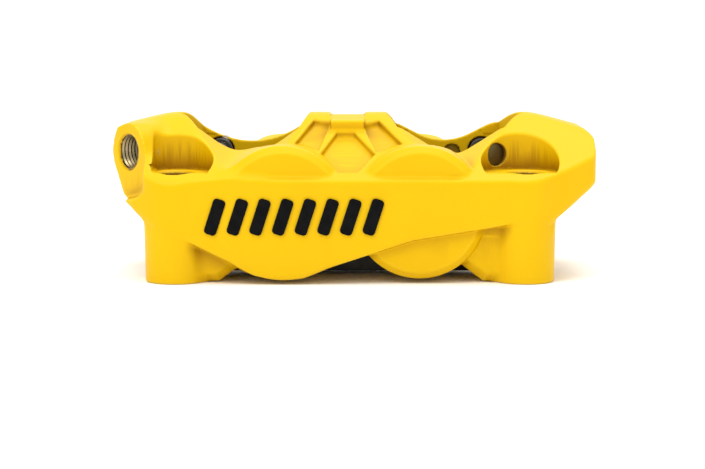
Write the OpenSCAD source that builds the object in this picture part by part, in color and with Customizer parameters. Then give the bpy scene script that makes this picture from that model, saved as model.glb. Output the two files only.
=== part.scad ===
// Radial-mount monobloc disc brake caliper with four opposed pistons.
// +X to the right, +Y from the mounting legs towards the rear half, +Z up.
// The origin is the centre of the two mounting bolts, on the plane of the legs' feet.

/* [Mounting legs] */
// Distance between the two mounting bolts
bolt_pitch = 100; // [98:0.5:102]
// Diameter of each mounting bolt hole
bolt_hole_d = 10.5; // [9:0.1:10.6]
// Distance from the front face back to the bolt axes
bolt_inset = 9.5; // [9:0.1:10]
// Radius of a leg at its foot
leg_foot_r = 8.6; // [8.2:0.1:9]
// Radius of a leg where it enters the casting
leg_top_r = 9.4; // [9:0.1:9.4]
// Height of the seats for the bolt heads
seat_z = 31.5; // [31:0.1:32]
// Radius of the pocket round the left bolt head
pocket_left_r = 10.8; // [10.2:0.1:10.8]
// Radius of the pocket round the right bolt head
pocket_right_r = 11.1; // [10:0.1:11.2]

/* [Casting] */
// Distance from the middle to the right end
right_end = 71; // [70:0.5:73]
// Distance from the middle to the left end, without the banjo boss
left_end = 67; // [66:0.5:68]
// Height of the break line where the front face turns into the sloping top
break_z = 29.4; // [29:0.1:29.8]
// Height of the ridge over the disc
ridge_z = 47.6; // [47:0.1:48.2]
// Distance from the front face to the middle plane of the disc
mid_depth = 35.5; // [35.5:0.1:36]
// Height of the knee where the front roof eases off
roof_knee_z = 42.4; // [42:0.1:42.6]
// How far the front plate stands proud of the webs
web_inset = 5; // [4:0.1:5.5]
// Radius of a piston boss
boss_r = 19; // [18.8:0.1:19.2]
// How far a piston boss is set back from the front face
boss_inset = 2.5; // [2:0.1:3]
// Chamfer round the end of a piston boss
boss_chamfer = 2; // [1.5:0.1:2.2]

/* [Pistons] */
// Diameter of each piston
piston_d = 30; // [28:0.5:30]
// Distance between the two pistons of one half
piston_pitch = 39; // [39:0.1:40]
// Height of the piston axes
piston_z = 20.3; // [20:0.1:20.6]
// Wall of a piston cup
piston_wall = 3.5; // [2.5:0.1:4.5]

/* [Pads and disc slot] */
// Width of the slot that holds both pads and the disc
slot_w = 23; // [22.6:0.1:23]
// Gap left for the disc between new pads
disc_gap = 6; // [5.6:0.1:6.4]
// Thickness of a steel backing plate
backing_t = 4; // [3.5:0.1:4.2]
// Radius of the disc that runs in the caliper
disc_r = 160; // [155:1:165]
// Diameter of a pad pin
pad_pin_d = 5; // [4:0.1:5]

/* [Hydraulics] */
// Diameter of the plain bore for the banjo bolt thread
port_bore_d = 9; // [8.6:0.1:9.2]
// Depth of the banjo bolt bore
port_depth = 8; // [7:0.1:8.5]
// Radius of the banjo boss
port_boss_r = 8.4; // [8:0.1:8.6]
// Diameter of the bleed screw's shank
bleed_d = 7.8; // [7:0.1:8]

/* [Hidden] */
$fn = 96;
slack = 0.05;
front_wall = mid_depth - slot_w / 2;
rear_wall = mid_depth + slot_w / 2;
rear_face = 2 * mid_depth;
roof_knee = 21;
roof_shoulder = 29;
roof_shoulder_z = ridge_z - 1;
top_slope = (roof_knee_z - break_z) / (roof_knee - 0.5);
corner_x = 53.8;
corner_right = 11.4;
corner_left = 11;
pocket_right_x = 48.3;
pocket_left_x = -50;
pocket_left_wall = -57;
pad_gap = 0.6;
piston_r = piston_d / 2;
piston_back = 6.5;
piston_front = front_wall + 0.3;
bore_floor = 5.5;
groove_depth = 1.4;
boss_top_front = 39.3;
boss_top_rear = 37;
clip_r = 3.5;
clip_bore_r = 4;
seal_at = 17.2;
seal_w = 2.6;
wiper_at = 20.8;
wiper_w = 2;
wiper_depth = 1.4;
undercut_x = 58;
undercut_z = 17.6;
end_foot_z = 29.4;
window_out_x = 44.5;
window_tip_x = 52;
bridge_x = -1;
flange_left = -6;
flange_right = 4;
flange_front = 21.5;
flange_z = 45.5;
flange_ridge_z = 46.3;
bridge_wall_half = 14.7;
bridge_top_half = 10.3;
valley_x = 30;
valley_lift = 0.5;
valley_slope_front = 0.26;
valley_slope_rear = 0.345;
pin_x = 39.4;
pin_z = 35;
pin_head_depth = 53;
clip_at = rear_wall + 1.6;
pin_end = 21.8;
ear_r = 3.6;
disc_z = 36;
disc_axis_z = disc_z - disc_r;
backing_foot_z = 1;
cavity_x = 39.5;
cavity_z = 40.8;
port_x = -64.7;
port_y = 18.3;
port_z = 36.5;
port_turn = -51;
port_corner_x = -58.7;
bleed_x = 57;
bleed_z = 33;
bleed_seat = 58;
bleed_mouth = 66;
bleed_spot_r = 6.4;
pocket_drill_r = 3.3;
pocket_drill_depth = 3;

// Moves depths counted from the front face into the caliper's own frame
module in_frame() {
    translate([0, -bolt_inset, 0]) children();
}

// Turns a front-half shape round the disc's middle plane into the rear half
module rear_twin() {
    translate([0, 2 * mid_depth, 0]) mirror([0, 1, 0]) children();
}

module both_ends() {
    children();
    mirror([1, 0, 0]) children();
}

// A cylinder along +Y from depth y0 to depth y1
module rod_y(x, z, r, y0, y1) {
    translate([x, y0, z]) rotate([-90, 0, 0]) cylinder(r = r, h = y1 - y0);
}

// A turned shape on an axis along +Y; its profile is a list of [radius, depth] points
module turned_y(x, z, profile) {
    translate([x, 0, z]) rotate([-90, 0, 0]) rotate_extrude() polygon(profile);
}

// A flat shape drawn in X and Z, from depth y0 to depth y1
module slab_y(y0, y1) {
    translate([0, y1, 0]) rotate([90, 0, 0]) linear_extrude(y1 - y0) children();
}

// The tent over the disc, seen from the end: upright faces and two sloping roofs
module tent() {
    rotate([90, 0, 90]) linear_extrude(2 * right_end + 2, center = true)
        polygon([[0, -1], [0, break_z - 0.5], [0.5, break_z], [roof_knee, roof_knee_z],
            [roof_shoulder, roof_shoulder_z], [mid_depth, ridge_z],
            [rear_face - roof_shoulder, roof_shoulder_z], [rear_face - roof_knee, roof_knee_z],
            [rear_face - 0.5, break_z], [rear_face, break_z - 0.5], [rear_face, -1]]);
}

// The casting seen from above, with its corners cut back
module plan_block() {
    linear_extrude(60)
        polygon([[-corner_x, 0], [corner_x, 0], [right_end, corner_right],
            [right_end, rear_face - corner_right], [corner_x, rear_face],
            [-corner_x, rear_face], [-left_end, rear_face - corner_left],
            [-left_end, corner_left]]);
}

// The upper band seen from the front, with undercut ends and falling crests
module band_outline(foot_z) {
    polygon([[-left_end, end_foot_z], [-64.5, 25], [-undercut_x, 19], [-undercut_x, foot_z],
        [undercut_x, foot_z], [undercut_x, undercut_z], [right_end, end_foot_z],
        [right_end, 40.5], [68, 43], [window_tip_x, ridge_z], [-window_tip_x, ridge_z],
        [-left_end, 43.3]]);
}

// The front plate: a straight rising lower edge on the right, the left boss's lobe below
module plate_outline() {
    polygon([[-left_end, end_foot_z], [-64.5, 25], [-undercut_x, 19], [-52.9, 15.7],
        [-32.2, 5.3], [-27.4, 3.1], [-13.7, 2.3], [17.6, 12.5], [46.1, 17.2],
        [undercut_x, undercut_z], [right_end, end_foot_z], [right_end, 50],
        [-left_end, 50]]);
    translate([-piston_pitch / 2, piston_z]) circle(r = boss_r + 0.15);
}

// Web between a leg and its piston boss, with an arched foot
module web_outline() {
    polygon([[28, 20], [28, 8], [30.6, 5.7], [37.8, 0.7], [bolt_pitch / 2, 0.7],
        [bolt_pitch / 2, 20]]);
}

// One piston boss, its end chamfered and its back trimmed down towards the slot
module piston_boss(x, top) {
    intersection() {
        turned_y(x, piston_z, [[0, boss_inset], [boss_r - boss_chamfer, boss_inset],
            [boss_r, boss_inset + boss_chamfer], [boss_r, front_wall], [0, front_wall]]);
        rotate([90, 0, 90]) linear_extrude(2 * right_end, center = true)
            polygon([[0, 0], [0, top + 1.7], [14, top], [front_wall, top - 1.8], [front_wall, 0]]);
    }
}

// Tilted groove with sloping flanks that lowers the roof beside a piston boss
module valley(x, slope) {
    translate([x, 0.5, break_z + valley_lift]) rotate([atan(slope), 0, 0])
        slab_y(-12, mid_depth + 4) polygon([[-22, 12.3], [-10, 3.6], [-6, 1.3], [-2.5, 0.2],
            [2.5, 0.2], [6, 1.3], [10, 3.6], [22, 12.3], [22, 34], [-22, 34]]);
}

// One mounting leg
module leg() {
    translate([bolt_pitch / 2, bolt_inset, 0])
        cylinder(r1 = leg_foot_r, r2 = leg_top_r, h = seat_z);
}

// Turns +Z to point out of the banjo port's mouth
module at_port() {
    translate([port_x, port_y, port_z]) rotate([0, 0, port_turn]) rotate([90, 0, 0]) children();
}

// Points out of the drilling in the right pocket's wall
module at_pocket_drill() {
    translate([42.6, 18, 35.7]) rotate([0, 0, 33]) rotate([-90, 0, 0]) children();
}

// One top window in plan: its ends close to points over the disc
module window_plan(side) {
    inner_wall = side * bridge_wall_half + bridge_x;
    inner_tip = side * bridge_top_half + bridge_x;
    polygon([[side * window_tip_x, mid_depth], [side * window_out_x, front_wall],
        [inner_wall, front_wall], [inner_tip, mid_depth], [inner_wall, rear_wall],
        [side * window_out_x, rear_wall]]);
}

// Shallow recesses milled into the sloping front of the central bridge
module bridge_recesses() {
    depth = 1.7;
    tilt = atan(top_slope);
    stretch = 1 / cos(tilt);
    translate([0, 0.5, break_z]) rotate([tilt, 0, 0]) translate([0, 0, -depth])
        linear_extrude(12) {
            scale([1, stretch]) {
                polygon([[-4.2, 21.1], [1, 21.1], [6.8, 11.9], [1.7, 4.5], [-3.6, 4.5],
                    [-8.8, 11.9]]);
                polygon([[-10.8, 27], [-6, 25.5], [-9.4, 13.6], [-16.9, 15.1]]);
                polygon([[3.4, 24.4], [8, 26.6], [14.9, 15.9], [7.4, 12.6]]);
            }
        }
}

// Space beside the nearly level top of the central bridge: below it, or above it
module bridge_flange(far_z) {
    rotate([90, 0, 90]) translate([0, 0, flange_left]) linear_extrude(flange_right - flange_left)
        polygon([[flange_front, far_z], [flange_front, flange_z], [mid_depth, flange_ridge_z],
            [rear_face - flange_front, flange_z], [rear_face - flange_front, far_z]]);
}

// Solid casting before any machining
module casting_blank() {
    intersection() {
        tent();
        plan_block();
        union() {
            slab_y(0, web_inset + 1) plate_outline();
            slab_y(web_inset, rear_face - web_inset) band_outline(14);
            slab_y(rear_face - web_inset - 1, rear_face) band_outline(undercut_z);
            both_ends() slab_y(web_inset, front_wall) web_outline();
            both_ends() leg();
        }
    }
    for (side = [-1, 1]) {
        piston_boss(side * piston_pitch / 2, boss_top_front);
    }
}

// Roof grooves are cut before the bosses are added back
module casting() {
    difference() {
        casting_blank();
        bridge_recesses();
        bridge_flange(60);
        for (side = [-1, 1]) {
            difference() {
                valley(side * valley_x, valley_slope_front);
                translate([-100, mid_depth, 0]) cube([200, 100, 100]);
            }
            difference() {
                rear_twin() valley(side * valley_x, valley_slope_rear);
                translate([-100, mid_depth - 100, 0]) cube([200, 100, 100]);
            }
        }
    }
    for (side = [-1, 1]) {
        piston_boss(side * piston_pitch / 2, boss_top_front);
        rear_twin() piston_boss(side * piston_pitch / 2, boss_top_rear);
        intersection() {
            rod_y(side * piston_pitch / 2, piston_z, piston_z, rear_wall, rear_face - web_inset);
            translate([-60, rear_wall, -1]) cube([120, 30, piston_z]);
        }
    }
    bridge_flange(42);
    intersection() {
        at_port() translate([0, 0, -12]) cylinder(r = port_boss_r, h = 12);
        translate([-100, 0, 0]) cube([100 - 51, 60, 60]);
    }
    rod_y(bleed_x, bleed_z, 6, 55, bleed_mouth);
}

// Blind bore of one front piston with its two seal grooves
module piston_bore(x) {
    rod_y(x, piston_z, piston_r + slack, bore_floor, front_wall + 1);
    rod_y(x, piston_z, piston_r + groove_depth, seal_at, seal_at + seal_w);
    rod_y(x, piston_z, piston_r + wiper_depth, wiper_at, wiper_at + wiper_w);
}

// Everything that passes between the halves: pads, disc and pad ears
module slot_space() {
    translate([-cavity_x, front_wall, -5]) cube([2 * cavity_x, slot_w, cavity_z + 5]);
    translate([-44, front_wall, pin_z - 5]) cube([88, slot_w, 9.6]);
    slab_y(mid_depth - 5, mid_depth + 5) translate([0, disc_axis_z]) circle(r = disc_r + 1.5, $fn = 240);
    for (side = [-1, 1]) {
        translate([0, 0, 29]) linear_extrude(40) window_plan(side);
    }
}

// Bores and recesses for the pad pins
module pin_holes() {
    both_ends() {
        rod_y(pin_x, pin_z, pad_pin_d / 2 + slack, pin_end - 0.3, 65);
        rod_y(pin_x, pin_z, clip_bore_r, rear_wall - 1, rear_wall + 3);
        rod_y(pin_x, pin_z, 4.3, pin_head_depth, 75);
    }
}

module caliper_body() {
    color("gold") in_frame() difference() {
        casting();
        slot_space();
        for (side = [-1, 1]) {
            piston_bore(side * piston_pitch / 2);
            rear_twin() piston_bore(side * piston_pitch / 2);
            translate([side * bolt_pitch / 2, bolt_inset, -1])
                cylinder(d = bolt_hole_d, h = seat_z + 2);
        }
        translate([pocket_right_x, bolt_inset, seat_z]) cylinder(r = pocket_right_r, h = 30);
        intersection() {
            translate([pocket_left_x, bolt_inset, seat_z]) cylinder(r = pocket_left_r, h = 30);
            translate([pocket_left_wall, -10, 0]) cube([40, 60, 80]);
        }
        pin_holes();
        at_port() cylinder(r = port_boss_r + 0.2, h = 20);
        at_port() translate([-30, -40, 0]) cube([30, 80, 30]);
        intersection() {
            at_port() translate([-1, -20, 0]) cube([30, 50, 30]);
            translate([-95, -15, 24.6]) cube([95 + port_corner_x, 60, 40]);
        }
        at_port() translate([0, 0, -port_depth]) cylinder(d = port_bore_d, h = port_depth + 1);
        at_pocket_drill() translate([0, 0, -3])
            cylinder(r = pocket_drill_r, h = pocket_drill_depth + 3);
        rod_y(30.5, 34.2, 2.5, rear_wall - 1, rear_wall + 1.5);
        rod_y(bleed_x, bleed_z, bleed_spot_r, bleed_mouth, rear_face + 9);
        turned_y(bleed_x, bleed_z, [[0, bleed_seat - 3.5], [0.5, bleed_seat - 3.5],
            [bleed_d / 2 + slack, bleed_seat], [bleed_d / 2 + slack, bleed_mouth + 1],
            [0, bleed_mouth + 1]]);
        rear_twin() both_ends() rod_y(45, 24, 3, -1, 7);
    }
}

// Cup-shaped piston with its open end at the pad
module piston(x) {
    inner_r = piston_r - piston_wall;
    in_frame() turned_y(x, piston_z, [[0, piston_back], [piston_r - 0.8, piston_back],
        [piston_r, piston_back + 0.8], [piston_r, piston_front], [inner_r, piston_front],
        [inner_r, piston_back + 4.5], [inner_r - 2, piston_back + 3], [0, piston_back + 3]]);
}

// Square-section ring that fills a groove round the piston
module ring_seal(x, at, width, depth) {
    in_frame() difference() {
        rod_y(x, piston_z, piston_r + depth - 0.1, at + 0.1, at + width - 0.1);
        rod_y(x, piston_z, piston_r + slack, at - 1, at + width + 1);
    }
}

module pressure_seal(x) {
    ring_seal(x, seal_at, seal_w, groove_depth);
}

module dust_seal(x) {
    ring_seal(x, wiper_at, wiper_w, wiper_depth);
}

// Mirrors a finished front part to the rear in the caliper's frame
module to_rear() {
    translate([0, 2 * (mid_depth - bolt_inset), 0]) mirror([0, 1, 0]) children();
}

module piston_front_left() {
    color("silver") piston(-piston_pitch / 2);
}
module piston_front_right() {
    color("silver") piston(piston_pitch / 2);
}
module piston_rear_left() {
    color("silver") to_rear() piston(-piston_pitch / 2);
}
module piston_rear_right() {
    color("silver") to_rear() piston(piston_pitch / 2);
}
module pressure_seal_front_left() {
    color("black") pressure_seal(-piston_pitch / 2);
}
module pressure_seal_front_right() {
    color("black") pressure_seal(piston_pitch / 2);
}
module pressure_seal_rear_left() {
    color("black") to_rear() pressure_seal(-piston_pitch / 2);
}
module pressure_seal_rear_right() {
    color("black") to_rear() pressure_seal(piston_pitch / 2);
}
module dust_seal_front_left() {
    color("dimgray") dust_seal(-piston_pitch / 2);
}
module dust_seal_front_right() {
    color("dimgray") dust_seal(piston_pitch / 2);
}
module dust_seal_rear_left() {
    color("dimgray") to_rear() dust_seal(-piston_pitch / 2);
}
module dust_seal_rear_right() {
    color("dimgray") to_rear() dust_seal(piston_pitch / 2);
}

// Steel plate with an ear for each pad pin and a top edge that follows the disc
module backing_plate() {
    in_frame() slab_y(front_wall + pad_gap, front_wall + pad_gap + backing_t) difference() {
        union() {
            intersection() {
                translate([-38.9, backing_foot_z]) square([77.8, 37]);
                translate([0, disc_axis_z]) circle(r = disc_r + 1, $fn = 240);
            }
            both_ends() {
                translate([pin_x, pin_z]) circle(r = ear_r);
                polygon([[30, 29], [38.9, 29], [42.6, 33.4], [38, 38.2], [36.2, 36.6],
                    [34.5, 33], [30, 32]]);
            }
        }
        both_ends() translate([pin_x, pin_z]) circle(r = pad_pin_d / 2 + 0.35);
        both_ends() translate([38.9, 9]) circle(r = 3);
    }
}

// Friction block with chamfered ends and a slot down its middle
module friction_pad() {
    in_frame() slab_y(front_wall + pad_gap + backing_t, mid_depth - disc_gap / 2) difference() {
        intersection() {
            polygon([[-33, 3.5], [33, 3.5], [36, 12], [36, 40], [-36, 40], [-36, 12]]);
            translate([0, disc_axis_z]) circle(r = disc_r - 0.5, $fn = 240);
        }
        translate([-0.8, 0]) square([1.6, 40]);
    }
}

module backing_plate_front() {
    color("black") backing_plate();
}
module backing_plate_rear() {
    color("black") to_rear() backing_plate();
}
module friction_pad_front() {
    color("dimgray") friction_pad();
}
module friction_pad_rear() {
    color("dimgray") to_rear() friction_pad();
}

// Headed pin that the pads hang from, with a groove for its clip and a hexagon socket
module pad_pin(side) {
    shank = pad_pin_d / 2;
    head = pin_head_depth + 0.1;
    in_frame() difference() {
        turned_y(side * pin_x, pin_z, [[0, pin_end], [shank - 0.6, pin_end],
            [shank, pin_end + 0.6], [shank, clip_at - 0.1], [2, clip_at - 0.1],
            [2, clip_at + 0.9], [shank, clip_at + 0.9], [shank, head], [4.1, head],
            [4.1, head + 3], [3.6, head + 3.5], [0, head + 3.5]]);
        translate([side * pin_x, pin_head_depth + 1.4, pin_z]) rotate([-90, 0, 0])
            cylinder(d = 4.6, h = 4, $fn = 6);
    }
}

module pad_pin_left() {
    color("silver") pad_pin(-1);
}
module pad_pin_right() {
    color("silver") pad_pin(1);
}

// Open spring rings that lock the pad pins
module pin_clips() {
    color("lightgray") in_frame() both_ends() difference() {
        rod_y(pin_x, pin_z, clip_r, clip_at, clip_at + 0.8);
        rod_y(pin_x, pin_z, 2.05, rear_wall, rear_wall + 5);
        translate([pin_x - 1.3, rear_wall, pin_z]) cube([2.6, 5, 6]);
    }
}

// Leaf spring under the central bridge: a flat crown and two sprung wings
module pad_spring() {
    leaf = 0.6;
    crown = cavity_z - slack;
    color("silver") in_frame() slab_y(mid_depth - 9, mid_depth + 9)
        polygon([[-14, 37.5], [-12.5, 37.1], [-6, crown - leaf], [6, crown - leaf],
            [12.5, 37.1], [14, 37.5], [13.6, 38], [12.7, 37.8], [6.3, crown],
            [-6.3, crown], [-12.7, 37.8], [-13.6, 38]]);
}

// Drilled screw with a conical seat, a hexagon and a barbed nipple
module bleed_screw() {
    shank = bleed_d / 2;
    color("silver") in_frame() difference() {
        union() {
            turned_y(bleed_x, bleed_z, [[0, bleed_seat - 2.9], [0.6, bleed_seat - 2.9],
                [shank, bleed_seat + 0.3], [shank, bleed_mouth], [2.9, bleed_mouth],
                [2.9, bleed_mouth + 2], [2.2, bleed_mouth + 2], [2.2, bleed_mouth + 9],
                [3, bleed_mouth + 9], [2, bleed_mouth + 13], [0, bleed_mouth + 13]]);
            translate([bleed_x, bleed_mouth + 1.2, bleed_z]) rotate([-90, 0, 0])
                cylinder(d = 9.24, h = 4, $fn = 6);
        }
        rod_y(bleed_x, bleed_z, 0.9, bleed_seat + 2, bleed_mouth + 14);
    }
}

// Rubber cap with a flared rim over the nipple
module bleed_cap() {
    start = bleed_mouth + 5.6;
    color("black") in_frame() turned_y(bleed_x, bleed_z, [[3.3, start], [4.3, start],
        [4.3, start + 1.6], [3.8, start + 1.6], [3.8, start + 8.4], [3, start + 9.4],
        [0, start + 9.4], [0, start + 7.8], [3.3, start + 7.8]]);
}

// Sealing plugs at the ends of the drilled fluid passages
module gallery_plugs() {
    color("darkgoldenrod") in_frame() {
        at_pocket_drill() translate([0, 0, pocket_drill_depth - 1.3])
            cylinder(r = pocket_drill_r - 0.02, h = 1.2);
        rear_twin() both_ends() difference() {
            rod_y(45, 24, 2.98, 1.2, 6.9);
            translate([45, 1, 24]) rotate([-90, 0, 0]) cylinder(d = 3.4, h = 3, $fn = 6);
        }
    }
}

caliper_body();
piston_front_left();
piston_front_right();
piston_rear_left();
piston_rear_right();
pressure_seal_front_left();
pressure_seal_front_right();
pressure_seal_rear_left();
pressure_seal_rear_right();
dust_seal_front_left();
dust_seal_front_right();
dust_seal_rear_left();
dust_seal_rear_right();
backing_plate_front();
backing_plate_rear();
friction_pad_front();
friction_pad_rear();
pad_pin_left();
pad_pin_right();
pin_clips();
pad_spring();
bleed_screw();
bleed_cap();
gallery_plugs();
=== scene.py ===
"""Looks of a radial-mount disc brake caliper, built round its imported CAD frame.

Lengths in the shape classes are millimetres, counted as x to the right, depth back from the
front face and z up from the legs' feet. Meshes are turned to metres in the frame when made.
"""

import logging
import math
from dataclasses import dataclass, field
from enum import Enum
from typing import Callable, Sequence

import bmesh
import bpy
import numpy as np
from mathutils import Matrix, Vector


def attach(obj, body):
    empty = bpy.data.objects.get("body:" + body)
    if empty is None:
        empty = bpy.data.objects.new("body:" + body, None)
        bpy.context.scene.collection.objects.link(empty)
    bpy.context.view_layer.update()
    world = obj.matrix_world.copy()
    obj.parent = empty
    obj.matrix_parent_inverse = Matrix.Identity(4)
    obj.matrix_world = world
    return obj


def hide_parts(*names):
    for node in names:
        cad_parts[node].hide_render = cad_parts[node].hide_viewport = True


LOG = logging.getLogger("caliper")
MM = 0.001
BOLT_INSET = 9.5
Outline = Sequence[tuple[float, float]]
Triple = tuple[float, float, float]
Piece = bpy.types.Object
Socket = bpy.types.NodeSocket

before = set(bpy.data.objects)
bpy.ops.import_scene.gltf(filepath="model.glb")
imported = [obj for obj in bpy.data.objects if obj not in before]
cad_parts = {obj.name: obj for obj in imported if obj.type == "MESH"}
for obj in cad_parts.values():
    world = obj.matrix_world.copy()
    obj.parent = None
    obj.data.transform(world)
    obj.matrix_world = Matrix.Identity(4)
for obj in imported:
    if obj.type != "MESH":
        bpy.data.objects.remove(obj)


# ---------------------------------------------------------------- shapes as distances

@dataclass(frozen=True)
class Places:
    """Places in millimetres as arrays that broadcast against each other."""

    x: np.ndarray
    d: np.ndarray
    z: np.ndarray


def join(a: np.ndarray, b: np.ndarray, fillet: float | np.ndarray = 0.0) -> np.ndarray:
    """Joins two solids given as distances.

    Args:
        a: Signed distance to the first solid, negative inside.
        b: Signed distance to the second solid.
        fillet: Width of the blend where they meet.

    Returns:
        The signed distance to the joined solid.
    """
    if np.isscalar(fillet) and fillet <= 0:
        return np.minimum(a, b)
    near = np.maximum(fillet - np.abs(a - b), 0) / fillet
    return np.minimum(a, b) - near * near * fillet / 4


def common(a: np.ndarray, b: np.ndarray, rounding: float | np.ndarray = 0.0) -> np.ndarray:
    """Keeps what two solids share, with its new edge rounded."""
    return -join(-a, -b, rounding)


def cut(a: np.ndarray, b: np.ndarray, rounding: float = 0.0) -> np.ndarray:
    """Takes the second solid away from the first, with the new edge rounded."""
    return -join(-a, b, rounding)


def span(along: np.ndarray, low: float, high: float) -> np.ndarray:
    """Distance to the space between two parallel planes."""
    return np.maximum(low - along, along - high)


def outline_field(u: np.ndarray, v: np.ndarray, outline: Outline) -> np.ndarray:
    """Signed distance to a closed flat outline.

    Args:
        u: First coordinate of the places.
        v: Second coordinate of the places.
        outline: The outline's corners in order.

    Returns:
        Distance to the outline, negative inside it.
    """
    best: np.ndarray | None = None
    inside: np.ndarray | None = None
    for index, (ax, ay) in enumerate(outline):
        bx, by = outline[(index + 1) % len(outline)]
        ex, ey = bx - ax, by - ay
        if ex == 0 and ey == 0:
            continue
        along = np.clip(((u - ax) * ex + (v - ay) * ey) / (ex * ex + ey * ey), 0, 1)
        gap = (u - ax - ex * along) ** 2 + (v - ay - ey * along) ** 2
        crosses = ((ay > v) != (by > v)) & (u < ax + ex * (v - ay) / (ey or 1e-9))
        best = gap if best is None else np.minimum(best, gap)
        inside = crosses if inside is None else inside ^ crosses
    return np.where(inside, -1, 1) * np.sqrt(best)


def rod(p: Places, x: float, z: float, r: float, d0: float, d1: float) -> np.ndarray:
    """Distance to a cylinder that runs straight back from depth d0 to depth d1."""
    return np.maximum(np.hypot(p.x - x, p.z - z) - r, span(p.d, d0, d1))


def upright_rod(p: Places, x: float, d: float, r: float, z0: float, z1: float) -> np.ndarray:
    """Distance to an upright cylinder from height z0 to height z1."""
    return np.maximum(np.hypot(p.x - x, p.d - d) - r, span(p.z, z0, z1))


@dataclass(frozen=True)
class Axis:
    """A level axis that points out of a drilled face."""

    x: float
    d: float
    z: float
    turn: float

    def local(self, p: Places) -> tuple[np.ndarray, np.ndarray, np.ndarray]:
        """Coordinates across, up and out along the axis.

        Args:
            p: The places to measure from.

        Returns:
            Three arrays, one for each direction.
        """
        out_x, out_d = math.sin(self.turn), -math.cos(self.turn)
        out = (p.x - self.x) * out_x + (p.d - self.d) * out_d
        across = -(p.x - self.x) * out_d + (p.d - self.d) * out_x
        return across, p.z - self.z + 0 * out, out

    def rod(self, p: Places, r: float, low: float, high: float) -> np.ndarray:
        """Distance to a cylinder on the axis between two stations."""
        across, up, out = self.local(p)
        return np.maximum(np.hypot(across, up) - r, span(out, low, high))

    def cone(self, p: Places, r: float) -> np.ndarray:
        """Distance to a 90 degree countersink with radius r at the axis's origin."""
        across, up, out = self.local(p)
        return (np.hypot(across, up) - r - out) / math.sqrt(2)


# ---------------------------------------------------------------- meshing

Field = Callable[[Places], np.ndarray]


def surface_nets(
    values: np.ndarray, origin: np.ndarray, step: float
) -> tuple[np.ndarray, np.ndarray]:
    """Wraps the zero level of a block of distances in quads.

    Args:
        values: Distances on a regular grid whose border lies outside the solid.
        origin: Place of the grid's first corner.
        step: Spacing of the grid.

    Returns:
        Vertices and quads, with the quads facing outwards.
    """
    inside = values < 0
    shape = np.array(values.shape)
    cells, places, flips = [], [], []
    for axis in range(3):
        low, high = [slice(None)] * 3, [slice(None)] * 3
        low[axis], high[axis] = slice(None, -1), slice(1, None)
        a, b = values[tuple(low)], values[tuple(high)]
        hit = inside[tuple(low)] != inside[tuple(high)]
        start = np.argwhere(hit)
        place = start.astype(np.float64)
        place[:, axis] += a[hit] / (a[hit] - b[hit])
        first, second = [i for i in range(3) if i != axis]
        ring = []
        for back_first, back_second in ((0, 0), (1, 0), (1, 1), (0, 1)):
            cell = start.copy()
            cell[:, first] -= back_first
            cell[:, second] -= back_second
            ring.append(np.ravel_multi_index(cell.T, shape))
        cells.append(np.stack(ring, axis=1))
        places.append(place)
        flips.append((a[hit] < 0) == (axis == 1))
    quads, place, flip = np.concatenate(cells), np.concatenate(places), np.concatenate(flips)
    ids, index = np.unique(quads.ravel(), return_inverse=True)
    spread = np.repeat(place, 4, axis=0)
    count = np.bincount(index)
    verts = np.stack([np.bincount(index, spread[:, i]) / count for i in range(3)], axis=1)
    quads = index.reshape(-1, 4)
    quads[flip] = quads[flip][:, ::-1]
    return origin + verts * step, quads


def slopes(field_of: Field, verts: np.ndarray, reach: float = 0.04) -> np.ndarray:
    """Gradient of a distance field at some places.

    Args:
        field_of: The solid's distance field.
        verts: The places, one in each row.
        reach: How far to both sides of a place the field is read.

    Returns:
        The gradient at each place.
    """
    parts = []
    for axis in range(3):
        shift = np.zeros(3)
        shift[axis] = reach
        ahead, behind = verts + shift, verts - shift
        parts.append((field_of(Places(*ahead.T)) - field_of(Places(*behind.T))) / (2 * reach))
    return np.stack(parts, axis=1)


def settle(field_of: Field, verts: np.ndarray, rounds: int, most: float) -> np.ndarray:
    """Moves places onto a solid's true surface.

    Args:
        field_of: The solid's distance field.
        verts: Places close to its surface.
        rounds: How many times they are moved.
        most: The furthest that a place may move in one round.

    Returns:
        The moved places.
    """
    for _ in range(rounds):
        slope = slopes(field_of, verts)
        steep = np.maximum((slope ** 2).sum(1), 0.05)
        away = field_of(Places(*verts.T)) / steep
        move = slope * np.clip(away, -most, most)[:, None]
        verts = verts - move
    return verts


def to_frame(verts: np.ndarray) -> np.ndarray:
    """Millimetres and depths turned to metres in the CAD frame."""
    return (verts - np.array([0.0, BOLT_INSET, 0.0])) * MM


def mesh_from(name: str, verts: np.ndarray, faces: np.ndarray) -> Piece:
    """Makes an object from arrays of vertices and of equal-sided faces.

    Args:
        name: Name of the object and its mesh.
        verts: Vertices, one in each row.
        faces: Vertex numbers, one face in each row.

    Returns:
        The new object.
    """
    mesh = bpy.data.meshes.new(name)
    sides = faces.shape[1]
    mesh.vertices.add(len(verts))
    mesh.vertices.foreach_set("co", verts.astype(np.float32).ravel())
    mesh.loops.add(faces.size)
    mesh.loops.foreach_set("vertex_index", faces.astype(np.int32).ravel())
    mesh.polygons.add(len(faces))
    mesh.polygons.foreach_set("loop_start", np.arange(0, faces.size, sides, dtype=np.int32))
    mesh.update(calc_edges=True)
    made = bpy.data.objects.new(name, mesh)
    bpy.context.scene.collection.objects.link(made)
    return made


def bake_modifiers(made: Piece) -> Piece:
    """Turns an object's live modifiers into plain mesh and removes them.

    Args:
        made: The object.

    Returns:
        The same object with its plain mesh.
    """
    bpy.context.view_layer.update()
    graph = bpy.context.evaluated_depsgraph_get()
    plain = bpy.data.meshes.new_from_object(made.evaluated_get(graph), depsgraph=graph)
    made.modifiers.clear()
    old = made.data
    made.data = plain
    if old.users == 0:
        bpy.data.meshes.remove(old)
    return made


def report(piece: Piece) -> None:
    """Logs a finished piece."""
    LOG.info("%s: %d faces", piece.name, len(piece.data.polygons))


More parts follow.
